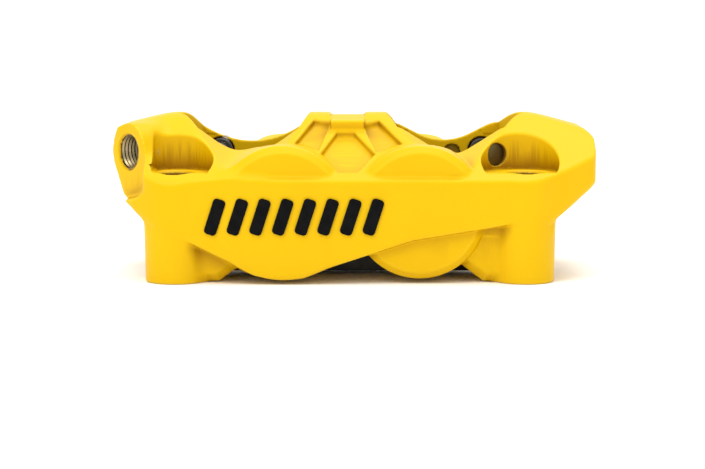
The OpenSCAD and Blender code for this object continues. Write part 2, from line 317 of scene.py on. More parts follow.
def coords(mesh: bpy.types.Mesh) -> np.ndarray:
    """A mesh's vertex places as an array.

    Args:
        mesh: The mesh.

    Returns:
        The places, one in each row.
    """
    flat = np.empty(len(mesh.vertices) * 3, np.float32)
    mesh.vertices.foreach_get("co", flat)
    return flat.reshape(-1, 3).astype(np.float64)


# ---------------------------------------------------------------- finishes

class Nodes:
    """Short-hand for building one material's node tree."""

    def __init__(self, name: str) -> None:
        """Starts a material with a Principled shader.

        Args:
            name: The material's name.
        """
        self.material = bpy.data.materials.new(name)
        self.material.use_nodes = True
        self.tree = self.material.node_tree
        self.shader = self.tree.nodes["Principled BSDF"]
        coord = self.tree.nodes.new("ShaderNodeTexCoord")
        self.place = coord.outputs["Object"]

    def add(self, kind: str, **settings: object) -> bpy.types.Node:
        """Adds a node and sets its properties.

        Args:
            kind: The node's type.
            settings: Values for the node's properties.

        Returns:
            The new node.
        """
        node = self.tree.nodes.new(kind)
        for key, value in settings.items():
            setattr(node, key, value)
        return node

    def link(self, source: Socket, target: Socket) -> None:
        """Joins two sockets."""
        self.tree.links.new(source, target)

    def noise(self, scale: float, detail: float = 3.0, seed: float = 0.0) -> Socket:
        """Noise in object space, shifted by a seed.

        Args:
            scale: How fine the noise is.
            detail: How many finer layers it has.
            seed: Shift that gives each noise its own pattern.

        Returns:
            The noise as a factor.
        """
        shift = self.add("ShaderNodeMapping")
        shift.inputs["Location"].default_value = (seed, seed * 0.7, -seed)
        self.link(self.place, shift.inputs["Vector"])
        node = self.add("ShaderNodeTexNoise")
        node.inputs["Scale"].default_value = scale
        node.inputs["Detail"].default_value = detail
        self.link(shift.outputs["Vector"], node.inputs["Vector"])
        return node.outputs["Fac"]

    def ramp(
        self, source: Socket, low: Triple, high: Triple,
        at: tuple[float, float] = (0.3, 0.7)
    ) -> Socket:
        """Colour between two tones by a factor.

        Args:
            source: The factor.
            low: Tone at the low end.
            high: Tone at the high end.
            at: Factors where the two ends lie.

        Returns:
            The colour.
        """
        node = self.add("ShaderNodeValToRGB")
        node.color_ramp.elements[0].position = at[0]
        node.color_ramp.elements[0].color = (*low, 1)
        node.color_ramp.elements[1].position = at[1]
        node.color_ramp.elements[1].color = (*high, 1)
        self.link(source, node.inputs["Fac"])
        return node.outputs["Color"]

    def range(
        self, source: Socket, low: float, high: float
    ) -> Socket:
        """A factor from 0 to 1 mapped between two values.

        Args:
            source: The factor.
            low: Value at 0.
            high: Value at 1.

        Returns:
            The mapped value.
        """
        node = self.add("ShaderNodeMapRange")
        node.inputs["To Min"].default_value = low
        node.inputs["To Max"].default_value = high
        self.link(source, node.inputs["Value"])
        return node.outputs["Result"]

    def mix(
        self, factor: Socket, first: object, second: object, blend: str = "MIX"
    ) -> Socket:
        """Mixes two colours, each a tone or a socket.

        Args:
            factor: Share of the second colour.
            first: The first tone or socket.
            second: The second tone or socket.
            blend: The way of blending.

        Returns:
            The mixed colour.
        """
        node = self.add("ShaderNodeMix", data_type="RGBA", blend_type=blend)
        self.link(factor, node.inputs[0])
        for value, socket in ((first, node.inputs[6]), (second, node.inputs[7])):
            if isinstance(value, tuple):
                socket.default_value = (*value, 1)
            else:
                self.link(value, socket)
        return node.outputs[2]

    def attribute(self, name: str) -> Socket:
        """A value stored on the mesh."""
        return self.add("ShaderNodeAttribute", attribute_name=name).outputs["Fac"]

    def bump(self, height: Socket, strength: float, depth: float) -> None:
        """Sends a height to the shader's normal.

        Args:
            height: The height.
            strength: Share of the effect from 0 to 1.
            depth: Height of a full step, in metres.
        """
        node = self.add("ShaderNodeBump")
        node.inputs["Strength"].default_value = strength
        node.inputs["Distance"].default_value = depth
        self.link(height, node.inputs["Height"])
        self.link(node.outputs["Normal"], self.shader.inputs["Normal"])

    def set(self, **values: object) -> None:
        """Sets constants on the shader's own sockets."""
        for key, value in values.items():
            self.shader.inputs[key.replace("_", " ")].default_value = value


class Finish:
    """One finish, made once and shared by its pieces."""

    _made: dict[str, bpy.types.Material] = {}

    def material(self) -> bpy.types.Material:
        """The finish's material, built on first use.

        Returns:
            The finished material.
        """
        key = self.title()
        if key not in Finish._made:
            Finish._made[key] = self.build(Nodes(key))
        return Finish._made[key]

    def title(self) -> str:
        """The material's name."""
        raise NotImplementedError

    def build(self, n: Nodes) -> bpy.types.Material:
        """Builds the node tree."""
        raise NotImplementedError


@dataclass(frozen=True)
class SatinPaint(Finish):
    """Satin yellow paint over machined aluminium, bare inside the bores, with a painted highlight on
    edges and painted shade in hollows.
    """

    tone: Triple = (0.705, 0.425, 0.0008)
    deep: Triple = (0.69, 0.405, 0.0008)
    # edge: painted highlight tone laid on convex edges
    edge: Triple = (0.80, 0.56, 0.03)
    # painted shade: the tone that recesses and pockets darken towards
    painted_shade: Triple = (0.36, 0.175, 0.0004)
    bare: Triple = (0.17, 0.125, 0.045)
    roughness: float = 0.40

    def title(self) -> str:
        """The material's name."""
        return "satin_yellow_paint"

    def build(self, n: Nodes) -> bpy.types.Material:
        """Builds the node tree.

        Args:
            n: The material's node helper.

        Returns:
            The finished material.
        """
        drift = n.ramp(n.noise(55, 2, 1.3), self.deep, self.tone, (0.15, 0.5))
        # painted highlight: the edge attribute brightens convex edges towards the edge tone
        highlighted_paint = n.mix(n.attribute("edge"), drift, self.edge)
        # painted shade: the hollow attribute darkens enclosed recesses towards the shade tone
        shaded_paint = n.mix(n.attribute("painted_shade"), highlighted_paint, self.painted_shade)
        bare = n.attribute("bare")
        metal = n.ramp(n.noise(300, 3, 6.0), tuple(0.6 * part for part in self.bare), self.bare)
        n.link(n.mix(bare, shaded_paint, metal), n.shader.inputs["Base Color"])
        n.link(bare, n.shader.inputs["Metallic"])
        n.link(n.range(n.noise(420, 2, 4.0), self.roughness - 0.04, self.roughness + 0.05),
               n.shader.inputs["Roughness"])
        n.bump(n.noise(1500, 3, 2.0), 0.05, 0.0002)
        n.set(Specular_IOR_Level=0.09)
        return n.material


class Metal(Enum):
    """Metals by name: tone, roughness and spacing of the tool lines."""

    ANODISED = ((0.42, 0.40, 0.36), 0.34, 900.0)
    THREAD = ((0.42, 0.34, 0.19), 0.36, 2200.0)
    STAINLESS = ((0.62, 0.61, 0.58), 0.26, 1800.0)
    SPRING = ((0.20, 0.19, 0.17), 0.34, 2400.0)
    ZINC = ((0.60, 0.57, 0.47), 0.33, 1600.0)
    BRASS = ((0.16, 0.12, 0.045), 0.45, 1200.0)


@dataclass(frozen=True)
class TurnedMetal(Finish):
    """Machined metal with fine tool lines round its axis and a little tarnish."""

    metal: Metal

    def title(self) -> str:
        """The material's name."""
        return "turned_" + self.metal.name.lower()

    def build(self, n: Nodes) -> bpy.types.Material:
        """Builds the node tree.

        Args:
            n: The material's node helper.

        Returns:
            The finished material.
        """
        tone, roughness, lines = self.metal.value
        dull = tuple(0.62 * part for part in tone)
        n.link(n.ramp(n.noise(260, 4, 0.6), dull, tone, (0.25, 0.6)), n.shader.inputs["Base Color"])
        tool = n.add("ShaderNodeTexWave", bands_direction="Y")
        tool.inputs["Scale"].default_value = lines
        tool.inputs["Distortion"].default_value = 0.6
        n.link(n.place, tool.inputs["Vector"])
        n.link(n.range(n.noise(900, 2, 3.0), roughness - 0.05, roughness + 0.1),
               n.shader.inputs["Roughness"])
        n.bump(tool.outputs["Fac"], 0.12, 0.00005)
        n.set(Metallic=1.0, Specular_IOR_Level=0.5)
        return n.material


@dataclass(frozen=True)
class Rubber(Finish):
    """Moulded rubber with a dusty bloom."""

    name: str = "moulded_rubber"
    tone: Triple = (0.016, 0.016, 0.017)

    def title(self) -> str:
        """The material's name."""
        return self.name

    def build(self, n: Nodes) -> bpy.types.Material:
        """Builds the node tree.

        Args:
            n: The material's node helper.

        Returns:
            The finished material.
        """
        pale = tuple(part * 2.4 + 0.01 for part in self.tone)
        n.link(n.ramp(n.noise(180, 4, 5.0), self.tone, pale, (0.35, 0.8)), n.shader.inputs["Base Color"])
        n.link(n.range(n.noise(700, 3, 1.0), 0.55, 0.8), n.shader.inputs["Roughness"])
        n.bump(n.noise(2600, 4, 7.0), 0.15, 0.0001)
        n.set(Specular_IOR_Level=0.35)
        return n.material


@dataclass(frozen=True)
class PowderCoat(Finish):
    """Black powder coat on the backing plates."""

    def title(self) -> str:
        """The material's name."""
        return "black_powder_coat"

    def build(self, n: Nodes) -> bpy.types.Material:
        """Builds the node tree.

        Args:
            n: The material's node helper.

        Returns:
            The finished material.
        """
        n.link(n.ramp(n.noise(300, 4, 2.0), (0.008, 0.008, 0.009), (0.03, 0.03, 0.03)),
               n.shader.inputs["Base Color"])
        n.link(n.range(n.noise(1200, 3, 1.0), 0.42, 0.6), n.shader.inputs["Roughness"])
        n.bump(n.noise(3000, 3, 7.0), 0.35, 0.0001)
        n.set(Specular_IOR_Level=0.4)
        return n.material


@dataclass(frozen=True)
class Sinter(Finish):
    """Pressed friction material with bright metal grains."""

    def title(self) -> str:
        """The material's name."""
        return "sintered_friction"

    def build(self, n: Nodes) -> bpy.types.Material:
        """Builds the node tree.

        Args:
            n: The material's node helper.

        Returns:
            The finished material.
        """
        grains = n.add("ShaderNodeTexVoronoi")
        grains.inputs["Scale"].default_value = 1900
        n.link(n.place, grains.inputs["Vector"])
        dark = n.ramp(n.noise(500, 5, 1.0), (0.05, 0.046, 0.042), (0.14, 0.125, 0.11))
        n.link(n.mix(n.range(grains.outputs["Distance"], 0.35, 0.0), dark, (0.36, 0.30, 0.22)),
               n.shader.inputs["Base Color"])
        n.bump(grains.outputs["Distance"], 0.5, 0.0002)
        n.set(Roughness=0.72, Metallic=0.35)
        return n.material


@dataclass(frozen=True)
class PrintInk(Finish):
    """Black screen-printed ink."""

    def title(self) -> str:
        """The material's name."""
        return "black_print"

    def build(self, n: Nodes) -> bpy.types.Material:
        """Builds the node tree.

        Args:
            n: The material's node helper.

        Returns:
            The finished material.
        """
        n.link(n.ramp(n.noise(600, 2, 3.0), (0.0015, 0.0015, 0.0015), (0.004, 0.004, 0.004)),
               n.shader.inputs["Base Color"])
        n.link(n.range(n.noise(1500, 2, 1.0), 0.34, 0.44), n.shader.inputs["Roughness"])
        n.bump(n.noise(2500, 2, 2.0), 0.06, 0.00005)
        n.set(Specular_IOR_Level=0.06)
        return n.material


@dataclass(frozen=True)
class PaleFloor(Finish):
    """Plain pale studio floor."""

    def title(self) -> str:
        """The material's name."""
        return "pale_floor"

    def build(self, n: Nodes) -> bpy.types.Material:
        """Builds the node tree."""
        n.set(Base_Color=(0.985, 0.985, 0.985, 1), Roughness=0.65, Specular_IOR_Level=0.1)
        return n.material


def dress(piece: Piece, finish: Finish) -> None:
    """Gives every face of a piece one finish.

    Args:
        piece: The piece.
        finish: Its finish.
    """
    mesh = piece.data
    mesh.materials.clear()
    mesh.materials.append(finish.material())
    mesh.polygons.foreach_set("material_index", np.zeros(len(mesh.polygons), np.int32))


# ---------------------------------------------------------------- the casting

@dataclass(frozen=True)
class Groove:
    """A groove across the roof: its middle, lowest height, flank slope and round width."""

    x: float
    base: float
    flank: float
    width: float


@dataclass(frozen=True)
class Slope:
    """One stretch of the roof: its height and depth at the start, its climb and its cosine."""

    base: float
    start: float
    climb: float
    cosine: float

    def above(self, rise: np.ndarray, along: np.ndarray) -> np.ndarray:
        """Distance above the stretch, carried on past its ends."""
        return (rise - self.base - self.climb * (along - self.start)) * self.cosine


@dataclass
class Casting:
    """The one-piece caliper body, cast and machined, with every blend and edge."""

    right: float = 71.0
    left: float = 68.2
    break_z: float = 29.4
    ridge_z: float = 47.6
    middle: float = 35.5
    slot: float = 23.0
    roof_start: float = 0.5
    roof_slopes: tuple[Slope, ...] = (
        Slope(0, 0, 0.634, 0.844), Slope(13.0, 20.5, 0.525, 0.885), Slope(17.2, 28.5, 0.154, 0.988))
    web_inset: float = 5.0
    boss_r: float = 19.0
    boss_inset: float = 2.5
    boss_chamfer: float = 2.0
    boss_top_front: float = 39.3
    boss_top_rear: float = 37.0
    boss_fall: float = 0.18
    boss_fall_start: float = 14.0
    piston_x: float = 19.5
    piston_z: float = 20.3
    piston_r: float = 15.05
    bore_floor: float = 5.5
    groove_r: float = 16.4
    groove_spans: tuple[tuple[float, float], ...] = ((17.2, 19.8), (20.8, 22.8))
    bolt_x: float = 50.0
    bolt_r: float = 5.25
    seat_z: float = 31.5
    pocket_right: tuple[float, float] = (48.3, 11.1)
    pocket_left: tuple[float, float] = (-50.0, 10.6)
    pocket_left_wall: float = -56.9
    leg_foot_r: float = 8.6
    leg_top_r: float = 9.4
    leg_shift: float = 0.35
    bridge_x: float = -1.0
    bridge_wall: float = 14.7
    bridge_tip: float = 10.3
    window_out: float = 44.5
    window_tip: float = 52.0
    pin_x: float = 39.4
    pin_z: float = 35.0
    pin_bores: tuple[Triple, ...] = ((2.55, 21.5, 65), (4.0, 46, 50), (4.3, 53, 75))
    plug_x: float = 45.0
    plug_z: float = 24.0
    plug_r: float = 3.0
    bleed_x: float = 57.0
    bleed_z: float = 33.0
    drilling_r: float = 3.3
    port_boss_r: float = 8.4
    port_bore_r: float = 4.9
    valley_foot: float = 30.0
    disc_r: float = 161.5
    disc_axis_z: float = -124.0
    disc_half: float = 5.0
    pad_half: float = 39.5
    pad_top: float = 40.8
    ear_half: float = 44.0
    ear_span: tuple[float, float] = (30.0, 39.6)
    flange_half: float = 5.0
    flange_reach: float = 14.0
    flange_z: float = 46.3
    flange_fall: float = 0.057
    front_face: float = 0.05
    foot_face: float = 0.02
    cell: float = 0.52
    grid_low: Triple = (-76.0, -3.0, -3.0)
    grid_high: Triple = (75.0, 74.0, 52.0)
    most_triangles: int = 190_000
    front_grooves: tuple[Groove, ...] = (Groove(-30, 36.4, 0.72, 10), Groove(29.3, 35.8, 0.62, 5))
    rear_grooves: tuple[Groove, ...] = (Groove(-30, 38.1, 0.72, 17), Groove(28, 38.4, 0.5, 8))
    port: Axis = field(default_factory=lambda: Axis(-64.7, 18.3, 36.5, math.radians(-51)))
    drilling: Axis = field(default_factory=lambda: Axis(42.6, 18.0, 35.7, math.radians(33)))

    @property
    def rear(self) -> float:
        """Depth of the rear face."""
        return 2 * self.middle

    @property
    def slot_near(self) -> float:
        """Depth of the slot's front wall."""
        return self.middle - self.slot / 2

    @property
    def slot_far(self) -> float:
        """Depth of the slot's rear wall."""
        return self.middle + self.slot / 2

    def twin(self, p: Places) -> Places:
        """The same places seen from the rear face."""
        return Places(p.x, self.rear - p.d, p.z)

    def break_line(self, x: np.ndarray) -> np.ndarray:
        """Height of the front break, with its low left end and a slight rise beside the boss."""
        fall = np.clip(-42 - x, 0, 14)
        return self.break_z - 0.06 * fall + 0.8 * np.exp(-(((x + 33) / 8) ** 2))

    def roof(self, p: Places) -> np.ndarray:
        """Distance above one half's roof, steep in front and eased towards the ridge.

        Args:
            p: The places to measure from.

        Returns:
            The signed distance, negative below the roof.
        """
        rise = p.z - self.break_z
        along = p.d - self.roof_start
        steep, eased, crown = (slope.above(rise, along) for slope in self.roof_slopes)
        return common(common(steep, eased, 1.0), crown, 1.0)

    def tent(self, p: Places) -> np.ndarray:
        """Space under both roofs and between the two upright faces.

        Args:
            p: The places to measure from.

        Returns:
            The signed distance, negative inside.
        """
        lift = (self.break_line(p.x) - self.break_z) * np.clip((18 - p.d) / 12, 0, 1)
        lifted = Places(p.x, p.d, p.z - lift)
        soft = 1.0 + 1.8 * np.clip((-43 - p.x) / 8, 0, 1) + 1.8 * np.clip((p.x - 48) / 8, 0, 1)
        roofs = common(self.roof(lifted), self.roof(self.twin(p)), 1.5)
        front = common(roofs, -p.d + 0 * p.z, soft)
        return common(front, p.d - self.rear, 1.6)

    def plan(self, p: Places) -> np.ndarray:
        """The casting seen from above, with its four corners cut back and rounded.

        Args:
            p: The places to measure from.

        Returns:
            The signed distance, negative inside.
        """
        behind = self.rear - p.d
        right, rear_right = (((p.x - 53.8) * 11.4 - d * 17.2) / 20.63 for d in (p.d, behind))
        left, rear_left = ((-(p.x + 53.7) * 11 - d * 13.3) / 17.26 for d in (p.d, behind))
        ends = np.maximum(p.x - self.right, -self.left - p.x)
        front = common(common(-p.d, right, 7.0), left, 4.5)
        back = common(common(-behind, rear_right, 4.0), rear_left, 4.0)
        return common(common(front, back, 1.0), ends, 2.5)

    def crest(self, foot: float) -> Outline:
        """The upper band seen from the front.

        Args:
            foot: Height of the band's lower edge.

        Returns:
            The outline's corners.
        """
        return [(-self.left, 28.4), (-66.2, 23.9), (-60, 18.6), (-58, 16.5), (-58, min(foot, 15)),
                (57.4, foot), (57.4, 17.6),
                (self.right, 28.0), (self.right, 40.5), (68, 43), (52, self.ridge_z),
                (-52, self.ridge_z), (-self.left, 43.3)]

    def plate(self, p: Places) -> np.ndarray:
        """The proud front plate with the left lobe in its lower edge.

        Args:
            p: The places to measure from.

        Returns:
            The signed distance, negative inside.
        """
        outline = [(-self.left, 28.4), (-66.2, 23.9), (-60, 18.6), (-52.9, 15.2), (-32.2, 5.3),
                   (-27.4, 3.1), (-13.7, 2.3), (17.6, 12.5), (46.1, 17.2), (57.4, 17.6),
                   (self.right, 28.0), (self.right, 50), (-self.left, 50)]
        lobe = np.hypot(p.x + self.piston_x, p.z - self.piston_z) - self.boss_r
        face = join(outline_field(p.x, p.z, outline), lobe, 2.0)
        return common(face, span(p.d, 0, self.web_inset + 4), 0.9)

    def boss(self, p: Places, side: int, top: float) -> np.ndarray:
        """One piston boss with a chamfered end, trimmed to a height that falls to the slot.

        Args:
            p: The places to measure from.
            side: -1 for the left boss and 1 for the right one.
            top: The trimmed height at the boss's outer end.

        Returns:
            The signed distance, negative inside.
        """
        wall = np.hypot(p.x - side * self.piston_x, p.z - self.piston_z) - self.boss_r
        chamfer = (wall + self.boss_chamfer - (p.d - self.boss_inset)) / math.sqrt(2)
        barrel = common(wall, span(p.d, self.boss_inset, self.slot_near), 0.5)
        trimmed = common(barrel, (p.z - top) + self.boss_fall * (p.d - self.boss_fall_start), 1.2)
        return common(trimmed, chamfer, 0.35)

    def valley(self, p: Places, groove: Groove) -> np.ndarray:
        """Wide groove with a round bottom that lowers the roof beside a boss.

        Args:
            p: The places to measure from.
            groove: The groove's place and section.

        Returns:
            The signed distance, negative inside.
        """
        away = np.abs(p.x - groove.x)
        run = self.slot_near - self.roof_start
        bottom = self.valley_foot + (groove.base - self.valley_foot) * (p.d - self.roof_start) / run
        bend = groove.flank * away * away / (2 * groove.width)
        flank = groove.flank * (away - groove.width / 2)
        rise = np.where(away < groove.width, bend, flank)
        steep = np.minimum(away / groove.width, 1) * groove.flank
        level = (bottom + rise - p.z) / np.sqrt(1 + steep * steep)
        return np.maximum(level, p.d - self.middle)

    def legs_and_webs(self, p: Places) -> np.ndarray:
        """The two mounting legs and the arched webs beside them.

        Args:
            p: The places to measure from.

        Returns:
            The signed distance, negative inside.
        """
        across = np.abs(p.x)
        taper = self.leg_foot_r + (self.leg_top_r - self.leg_foot_r) * p.z / self.seat_z
        outer = np.abs(p.x + self.leg_shift) - self.bolt_x
        leg = np.hypot(outer, p.d - BOLT_INSET) - taper
        leg = common(leg, span(p.z, 0, self.seat_z), 0.8)
        arch = [(26, 22), (26, 9.5), (30.6, 5.7), (37.8, 0.2), (self.bolt_x, 0.2),
                (self.bolt_x, 22)]
        web = outline_field(across, p.z, arch)
        bevel = (web + 2.6 - (p.d - self.web_inset)) / math.sqrt(2)
        web = common(web, span(p.d, self.web_inset, self.slot_near), 0.8)
        return join(leg, common(web, bevel, 0.6), 1.8)

    def window(self, p: Places, side: int) -> np.ndarray:
        """One top window, pointed over the disc at both ends.

        Args:
            p: The places to measure from.
            side: -1 for the left window and 1 for the right one.

        Returns:
            The signed distance, negative inside.
        """
        near, far = self.slot_near, self.slot_far
        wall, tip = side * self.bridge_wall + self.bridge_x, side * self.bridge_tip + self.bridge_x
        out = side * self.window_out
        outline = [(side * self.window_tip, self.middle), (out, near), (wall, near),
                   (tip, self.middle), (wall, far), (out, far)]
        return np.maximum(outline_field(p.x, p.d, outline), 29 - p.z)

    def slot_space(self, p: Places) -> np.ndarray:
        """Room for both pads, their ears and the disc.

        Args:
            p: The places to measure from.

        Returns:
            The signed distance, negative inside.
        """
        between = span(p.d, self.slot_near, self.slot_far)
        pads = np.maximum(np.maximum(np.abs(p.x) - self.pad_half, between), p.z - self.pad_top)
        ears = np.maximum(np.abs(p.x) - self.ear_half, between)
        ears = np.maximum(ears, span(p.z, *self.ear_span))
        disc = np.hypot(p.x, p.z - self.disc_axis_z) - self.disc_r
        disc = np.maximum(disc, span(p.d, self.middle - self.disc_half, self.middle + self.disc_half))
        room = join(join(pads, ears), disc)
        return join(join(room, self.window(p, 1), 0.6), self.window(p, -1), 0.6)

    def bridge_recesses(self, p: Places) -> np.ndarray:
        """A hexagon and two four-cornered recesses milled into the sloping front of the bridge.

        Args:
            p: The places to measure from.

        Returns:
            The signed distance, negative inside.
        """
        depth = 1.7
        hexagon = [(-4.2, 21.1), (1, 21.1), (6.8, 11.9), (1.7, 4.5), (-3.6, 4.5), (-8.8, 11.9)]
        left = [(-10.8, 27), (-6.0, 25.5), (-9.4, 13.6), (-16.9, 15.1)]
        right = [(3.4, 24.4), (8, 26.6), (14.9, 15.9), (7.4, 12.6)]
        flat = join(outline_field(p.x, p.d, hexagon), outline_field(p.x, p.d, left))
        flat = join(flat, outline_field(p.x, p.d, right))
        return common(flat, -self.roof(p) - depth, 0.8)

    def flange(self, p: Places) -> tuple[np.ndarray, np.ndarray]:
        """The bridge's level top: distance to it seen from above, and height over it.

        Args:
            p: The places to measure from.

        Returns:
            Both distances.
        """
        away = np.abs(p.d - self.middle)
        plan = np.maximum(np.abs(p.x - self.bridge_x) - self.flange_half, away - self.flange_reach)
        return plan, p.z - self.flange_z + self.flange_fall * away

    def blank(self, p: Places) -> np.ndarray:
        """The casting before machining.

        Args:
            p: The places to measure from.

        Returns:
            The signed distance, negative inside.
        """
        band = np.maximum(outline_field(p.x, p.z, self.crest(14)),
                          span(p.d, self.web_inset, self.rear - self.web_inset))
        back = np.maximum(outline_field(p.x, p.z, self.crest(17.6)),
                          span(p.d, self.rear - self.web_inset - 1, self.rear))
        mass = join(join(band, back, 0.6), self.plate(p), 0.5)
        mass = common(mass, self.plan(p), 2.0)
        mass = join(mass, self.legs_and_webs(p), 1.2)
        mass = common(mass, self.tent(p), 0.9)
        mass = cut(mass, self.bridge_recesses(p), 0.7)
        width, above = self.flange(p)
        mass = cut(mass, common(width, -above), 0.8)
        behind = self.twin(p)
        for groove in self.front_grooves:
            mass = cut(mass, self.valley(p, groove), 0.9)
        for groove in self.rear_grooves:
            mass = cut(mass, self.valley(behind, groove), 0.9)
        for side in (-1, 1):
            blend = 0.7 + 3.0 * np.clip((-22 - p.x) / 10, 0, 1)
            mass = join(mass, self.boss(p, side, self.boss_top_front), blend)
            mass = join(mass, self.boss(behind, side, self.boss_top_rear), 1.4)
            lower = rod(p, side * self.piston_x, self.piston_z, self.piston_z, 47, 66)
            lower = np.maximum(lower, p.z - self.piston_z)
            mass = join(mass, lower, 1.0)
        port = common(self.port.rod(p, self.port_boss_r, -12, 0), p.x + 54.5, 4.0)
        mass = join(mass, port, 2.4)
        mass = join(mass, np.maximum(common(width, above, 0.9), 42 - p.z), 0.8)
        return join(mass, rod(p, self.bleed_x, self.bleed_z, 6, 55, 66), 1.6)

    def piston_bores(self, p: Places) -> np.ndarray:
        """Both bores of one half with their seal grooves.

        Args:
            p: The places to measure from.

        Returns:
            The signed distance, negative inside.
        """
        across = np.hypot(np.abs(p.x) - self.piston_x, p.z - self.piston_z)
        bore = np.maximum(across - self.piston_r, span(p.d, self.bore_floor, 25))
        for near, far in self.groove_spans:
            bore = join(bore, np.maximum(across - self.groove_r, span(p.d, near, far)))
        return bore

    def dimple(self, p: Places) -> np.ndarray:
        """Shallow round recess in the slot's rear wall, beside the right pad pin."""
        return rod(p, 30.5, 34.2, 2.5, 46, 48.5)

    def drillings(self, p: Places) -> np.ndarray:
        """Bolt holes, pad pin bores, plug bores and the bleed screw's bore.

        Args:
            p: The places to measure from.

        Returns:
            The signed distance, negative inside.
        """
        across = np.abs(p.x)
        bolt = np.hypot(across - self.bolt_x, p.d - BOLT_INSET)
        bevel = 0.7
        mouth = (bolt - self.bolt_r - bevel - (p.z - self.seat_z)) / math.sqrt(2)
        foot = (bolt - self.bolt_r - bevel + p.z) / math.sqrt(2)
        holes = join(bolt - self.bolt_r, np.maximum(join(mouth, foot), bolt - self.bolt_r - 2.2))
        holes = np.maximum(holes, p.z - self.seat_z - 2)
        holes = join(holes, rod(p, self.bleed_x, self.bleed_z, 6.4, 66, 80))
        pin = np.hypot(across - self.pin_x, p.z - self.pin_z)
        for radius, near, far in self.pin_bores:
            holes = join(holes, np.maximum(pin - radius, span(p.d, near, far)))
        plug = np.hypot(across - self.plug_x, p.z - self.plug_z) - self.plug_r
        holes = join(holes, np.maximum(plug, span(p.d, self.rear - 7, self.rear + 1)))
        bleed = np.hypot(p.x - self.bleed_x, p.z - self.bleed_z)
        seat = np.maximum(bleed - 3.95, span(p.d, 58, 67))
        tip = np.maximum(bleed - 0.5 - (p.d - 54.5) * 0.985, span(p.d, 54.5, 58.1))
        return join(join(holes, join(seat, tip)), self.dimple(p))

    def pockets(self, p: Places) -> np.ndarray:
        """Round pockets above the bolt seats.

        Args:
            p: The places to measure from.

        Returns:
            The signed distance, negative inside.
        """
        right, left = (upright_rod(p, x, BOLT_INSET, radius, self.seat_z, 70)
                       for x, radius in (self.pocket_right, self.pocket_left))
        return join(right, common(left, self.pocket_left_wall - p.x, 1.2))

    def port_face(self, p: Places) -> np.ndarray:
        """Spot face in front of the banjo boss.

        Args:
            p: The places to measure from.

        Returns:
            The signed distance, negative inside.
        """
        across, up, out = self.port.local(p)
        round_face = np.hypot(across, up) - (self.port_boss_r + 0.2)
        corner = common(p.x + 59.1, 24.6 + 0.3 * (p.x + 60) - p.z, 3.0)
        return common(join(round_face, corner, 1.2), -out, 1.2)

    def port_bore(self, p: Places) -> np.ndarray:
        """Threaded bore at its full diameter, with a countersunk mouth.

        Args:
            p: The places to measure from.

        Returns:
            The signed distance, negative inside.
        """
        bore = self.port.rod(p, self.port_bore_r, -8, 2)
        cone = np.maximum(self.port.cone(p, 5.7), self.port.rod(p, 7, -2, 2))
        return join(bore, cone)

    def solid(self, p: Places) -> np.ndarray:
        """The finished body as one distance field.

        Args:
            p: The places to measure from.

        Returns:
            The signed distance, negative inside.
        """
        body = cut(self.blank(p), self.slot_space(p), 0.8)
        body = cut(body, self.pockets(p), 0.7)
        body = cut(body, self.port_face(p), 0.7)
        body = cut(body, self.drilling.rod(p, self.drilling_r, -3, 3), 0.4)
        body = cut(body, self.drillings(p), 0.3)
        body = cut(body, self.piston_bores(p), 0.3)
        body = cut(body, self.piston_bores(self.twin(p)), 0.3)
        body = cut(body, self.port_bore(p), 0.25)
        return np.maximum(body, np.maximum(self.front_face - p.d, self.foot_face - p.z))

    def bare(self, verts: np.ndarray) -> np.ndarray:
        """Distance to the space inside unpainted, machined walls.

        Args:
            verts: The places, one in each row.

        Returns:
            The signed distance, negative inside.
        """
        p = Places(*verts.T)
        inner = join(self.piston_bores(p), self.piston_bores(self.twin(p)))
        inner = join(inner, self.drilling.rod(p, self.drilling_r, -3, 0.4))
        inner = join(inner, self.port.rod(p, 5.0, -8.2, -0.3))
        inner = join(inner, self.dimple(p))
        pin = np.hypot(np.abs(p.x) - self.pin_x, p.z - self.pin_z)
        inner = join(inner, np.maximum(pin - 4.4, span(p.d, 47.4, 75)))
        bolt = np.hypot(np.abs(p.x) - self.bolt_x, p.d - BOLT_INSET)
        inner = join(inner, np.maximum(bolt - self.bolt_r, p.z - self.seat_z + 0.7))
        return inner

    def build(self) -> Piece:
        """Makes the body's mesh, with its finishes on the right faces.

        Returns:
            The finished body.
        """
        low, high = np.array(self.grid_low), np.array(self.grid_high)
        counts = np.ceil((high - low) / self.cell).astype(int)
        axes = [low[i] + self.cell * np.arange(counts[i]) for i in range(3)]
        grid = Places(axes[0][:, None, None], axes[1][None, :, None], axes[2][None, None, :])
        values = np.broadcast_to(self.solid(grid), counts)
        verts, quads = surface_nets(np.ascontiguousarray(values), low, self.cell)
        verts = settle(self.solid, verts, 2, self.cell * 0.5)
        body = mesh_from("caliper_casting", verts, quads)
        ratio = self.most_triangles / (2 * len(quads))
        if ratio < 1:
            thin = body.modifiers.new("thin", "DECIMATE")
            thin.ratio = ratio
            body = bake_modifiers(body)
        mesh = body.data
        verts = settle(self.solid, coords(mesh), 1, self.cell * 0.25)
        slope = slopes(self.solid, verts)
        normals = slope / np.maximum(np.linalg.norm(slope, axis=1), 1e-6)[:, None]
        self.mark_bare_highlight_and_shade(mesh, verts, normals)
        dress(body, SatinPaint())
        mesh.vertices.foreach_set("co", to_frame(verts).astype(np.float32).ravel())
        mesh.update()
        mesh.shade_smooth()
        mesh.normals_split_custom_set_from_vertices(normals.tolist())
        return body

    def store(self, mesh: bpy.types.Mesh, name: str, values: np.ndarray) -> None:
        """Stores one factor from 0 to 1 at every vertex."""
        layer = mesh.attributes.new(name, "FLOAT", "POINT")
        layer.data.foreach_set("value", np.clip(values, 0, 1).astype(np.float32))

